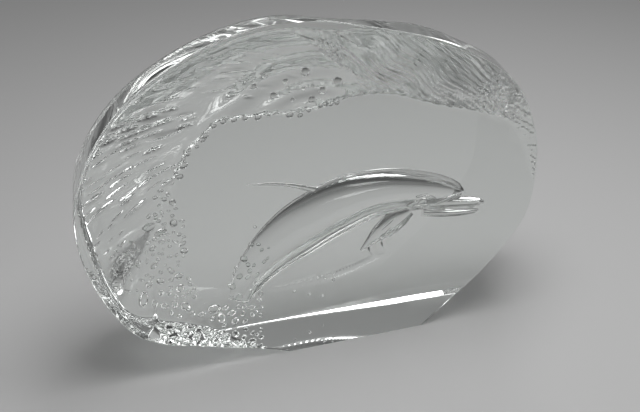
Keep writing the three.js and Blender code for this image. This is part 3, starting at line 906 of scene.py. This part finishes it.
class DOLPHIN_OT_glass_block(bpy.types.Operator):
    """Makes the glass block with its wave, foam and sunk dolphin"""

    bl_idname = "dolphin.glass_block"
    bl_label = "Glass block"

    def execute(self, context):
        scene = context.scene
        block = Block(scene.dolphin_block, scene.dolphin_wave)
        glass = make_flank(block)
        combine(glass, make_back_slab(block), "INTERSECT")
        for name, stations in (("body", BODY), ("beak", BEAK), ("jaw", JAW), ("flipper", FLIPPER),
                               ("dorsal_fin", DORSAL_FIN)):
            combine(glass, make_limb(name, stations, block), "DIFFERENCE")
        stretch, tilt = EYE_SHAPE
        eye = (EYE[0], block.depth - EYE_SUNK, EYE[1], EYE_RADIUS, EYE_RADIUS * stretch, tilt)
        combine(glass, make_balls("eye", [eye], *ROUND_DETAIL), "DIFFERENCE")
        combine(glass, make_balls("proud_marks", self.on_back(glass, PROUD_MARKS), *MARK_DETAIL), "UNION")
        combine(glass, make_balls("sunk_marks", self.on_back(glass, SUNK_MARKS), *MARK_DETAIL), "DIFFERENCE")
        combine(glass, make_balls("drops", block.drops(), *ROUND_DETAIL), "DIFFERENCE")
        sunk, proud = block.bubbles()
        combine(glass, make_balls("proud_foam", proud), "UNION")
        combine(glass, make_balls("sunk_foam", sunk), "DIFFERENCE")
        combine(glass, make_balls("lip_beads", block.lip_beads()), "UNION")
        combine(glass, make_balls("flank_foam", block.flank_bubbles()), "DIFFERENCE")
        self.sharpen(glass)
        glass.name = "glass_sculpture"
        self.fit_to_frame(glass)
        glass.data.polygons.foreach_set("material_index", [0] * len(glass.data.polygons))
        glass.data.materials.clear()
        glass.data.materials.append(clear_cast_glass(scene.dolphin_glass))
        context.view_layer.objects.active = glass
        glass.select_set(True)
        bpy.ops.object.shade_smooth_by_angle(angle=math.radians(SMOOTH_BELOW))
        for index in self.sharp_edges:
            glass.data.edges[index].use_edge_sharp = True
        glass.select_set(False)
        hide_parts(NODE)
        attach(glass, "root")
        triangles = sum(len(p.vertices) - 2 for p in glass.data.polygons)
        if triangles > MOST_TRIANGLES:
            raise RuntimeError(f"{triangles} triangles is over the limit")
        return {"FINISHED"}

    def on_back(self, glass, marks):
        """Sets marks on the moulded back, found by looking back through the glass."""
        set_down = []
        for x, z, radius, reach, tilt in marks:
            found, place, _, _ = glass.ray_cast(Vector((x, MARKS_SEEN_FROM, z)) * MM, Vector((0, 1, 0)))
            if not found:
                raise RuntimeError(f"no glass behind the mark at {x}, {z}")
            set_down.append((x, place.y / MM, z, radius, reach, tilt))
        return set_down

    def sharpen(self, glass):
        """Marks the edges where a cut or a bubble meets the back as sharp."""
        mesh = glass.data
        kind = [p.material_index for p in mesh.polygons]
        owner = {}
        sharp = set()
        for polygon in mesh.polygons:
            for key in polygon.edge_keys:
                if owner.setdefault(key, kind[polygon.index]) != kind[polygon.index]:
                    sharp.add(key)
        self.sharp_edges = [e.index for e in mesh.edges if tuple(sorted(e.vertices)) in sharp]

    def fit_to_frame(self, glass):
        """Moves the block from its own axes into the frame, and keeps it inside the solid's box."""
        co = np.empty(len(glass.data.vertices) * 3)
        glass.data.vertices.foreach_get("co", co)
        co = co.reshape(-1, 3)
        low, high = co.min(0), co.max(0)
        cad_low, cad_high = np.array(CAD_LOW), np.array(CAD_HIGH)
        scale = np.minimum((cad_high - cad_low) / (high - low), 1)
        place = (cad_low + cad_high) / 2 - scale * (low + high) / 2
        place[2] = cad_low[2] - scale[2] * low[2]
        place[1] = cad_low[1] - scale[1] * low[1]
        co = co * scale + place
        glass.data.vertices.foreach_set("co", co.ravel())
        glass.data.update()
        glass["place"] = place.tolist()


class DOLPHIN_OT_stage(bpy.types.Operator):
    """Makes the plain floor, the soft lights and the camera"""

    bl_idname = "dolphin.stage"
    bl_label = "Stage"

    def execute(self, context):
        scene = context.scene
        look = scene.dolphin_stage
        self.floor(look)
        self.sky(scene, look)
        self.lamp("overhead_softbox", *OVERHEAD_SOFTBOX, look.lamp_power)
        self.lamp("back_softbox", *BACK_SOFTBOX, look.back_power)
        self.camera(scene)
        scene.cycles.max_bounces = GLASS_BOUNCES
        scene.cycles.transmission_bounces = GLASS_BOUNCES
        scene.cycles.glossy_bounces = MIRROR_BOUNCES
        scene.view_settings.view_transform = "Standard"
        return {"FINISHED"}

    def floor(self, look):
        half = FLOOR_HALF / MM
        corners = [(-half, -half, 0), (half, -half, 0), (half, half, 0), (-half, half, 0)]
        floor = mesh_object("floor", corners, [(0, 1, 2, 3)])
        floor.location.z = -FLOOR_GAP
        floor.data.materials.append(matt_paper(look.floor_colour))

    def sky(self, scene, look):
        world = bpy.data.worlds.new("even_sky")
        world.use_nodes = True
        tree = world.node_tree
        background = tree.nodes["Background"]
        where = add_node(tree, "ShaderNodeTexCoord")
        apart = add_node(tree, "ShaderNodeSeparateXYZ", links={"Vector": where.outputs["Generated"]})
        ramp = add_node(tree, "ShaderNodeValToRGB", links={"Fac": apart.outputs["Z"]})
        paint_ramp(ramp, SKY_STEPS)
        tree.links.new(ramp.outputs["Color"], background.inputs["Color"])
        background.inputs["Strength"].default_value = look.sky
        scene.world = world

    def lamp(self, name, place, size, power):
        light = bpy.data.lights.new(name, "AREA")
        light.shape = "RECTANGLE"
        light.size, light.size_y = size
        light.energy = power
        obj = bpy.data.objects.new(name, light)
        obj.location = place
        aim = Vector(LAMPS_AIM) - Vector(place)
        obj.rotation_euler = aim.to_track_quat("-Z", "Y").to_euler()
        bpy.context.scene.collection.objects.link(obj)

    def camera(self, scene):
        """Looks down at the face from the left, as the photograph does."""
        azimuth, elevation = math.radians(CAMERA_AZIMUTH), math.radians(CAMERA_ELEVATION)
        place = bpy.data.objects["glass_sculpture"]["place"]
        aim = Vector((place[0], place[1] + AIM_BACK * MM, AIM_UP * MM))
        level = math.cos(elevation)
        back = Vector((math.sin(azimuth) * level, -math.cos(azimuth) * level, math.sin(elevation)))
        width, height = PICTURE
        lens = bpy.data.cameras.new("camera")
        lens.sensor_width = SENSOR
        lens.lens = SENSOR * PIXELS_PER_MM * CAMERA_DISTANCE / width
        lens.shift_x = (width / 2 - AIM_IN_PICTURE[0]) / width
        lens.shift_y = -(height / 2 - AIM_IN_PICTURE[1]) / width
        lens.clip_start = NEAREST_SEEN
        camera = bpy.data.objects.new("camera", lens)
        camera.location = aim + CAMERA_DISTANCE * MM * back
        camera.rotation_euler = (-back).to_track_quat("-Z", "Y").to_euler()
        scene.collection.objects.link(camera)
        scene.camera = camera


class DOLPHIN_PT_panel(bpy.types.Panel):
    """Lists the pieces and their sizes"""

    bl_idname = "DOLPHIN_PT_panel"
    bl_label = "Glass Dolphin"
    bl_space_type = "VIEW_3D"
    bl_region_type = "UI"
    bl_category = "Glass Dolphin"

    def draw(self, context):
        layout = self.layout
        scene = context.scene
        for title, group in (("Block", scene.dolphin_block), ("Wave", scene.dolphin_wave),
                             ("Glass", scene.dolphin_glass), ("Stage", scene.dolphin_stage)):
            box = layout.box()
            box.label(text=title)
            for name in group.__annotations__:
                box.prop(group, name)
        layout.operator(DOLPHIN_OT_glass_block.bl_idname)
        layout.operator(DOLPHIN_OT_stage.bl_idname)


GROUPS = {
    "dolphin_block": BlockSizes,
    "dolphin_wave": WaveSizes,
    "dolphin_glass": GlassLook,
    "dolphin_stage": StageLook,
}
CLASSES = (*GROUPS.values(), DOLPHIN_OT_glass_block, DOLPHIN_OT_stage, DOLPHIN_PT_panel)


def register():
    for cls in CLASSES:
        bpy.utils.register_class(cls)
    for name, cls in GROUPS.items():
        setattr(bpy.types.Scene, name, PointerProperty(type=cls))


def unregister():
    for name in GROUPS:
        delattr(bpy.types.Scene, name)
    for cls in reversed(CLASSES):
        bpy.utils.unregister_class(cls)


def main():
    register()
    bpy.ops.dolphin.glass_block()
    bpy.ops.dolphin.stage()


if __name__ == "__main__":
    main()
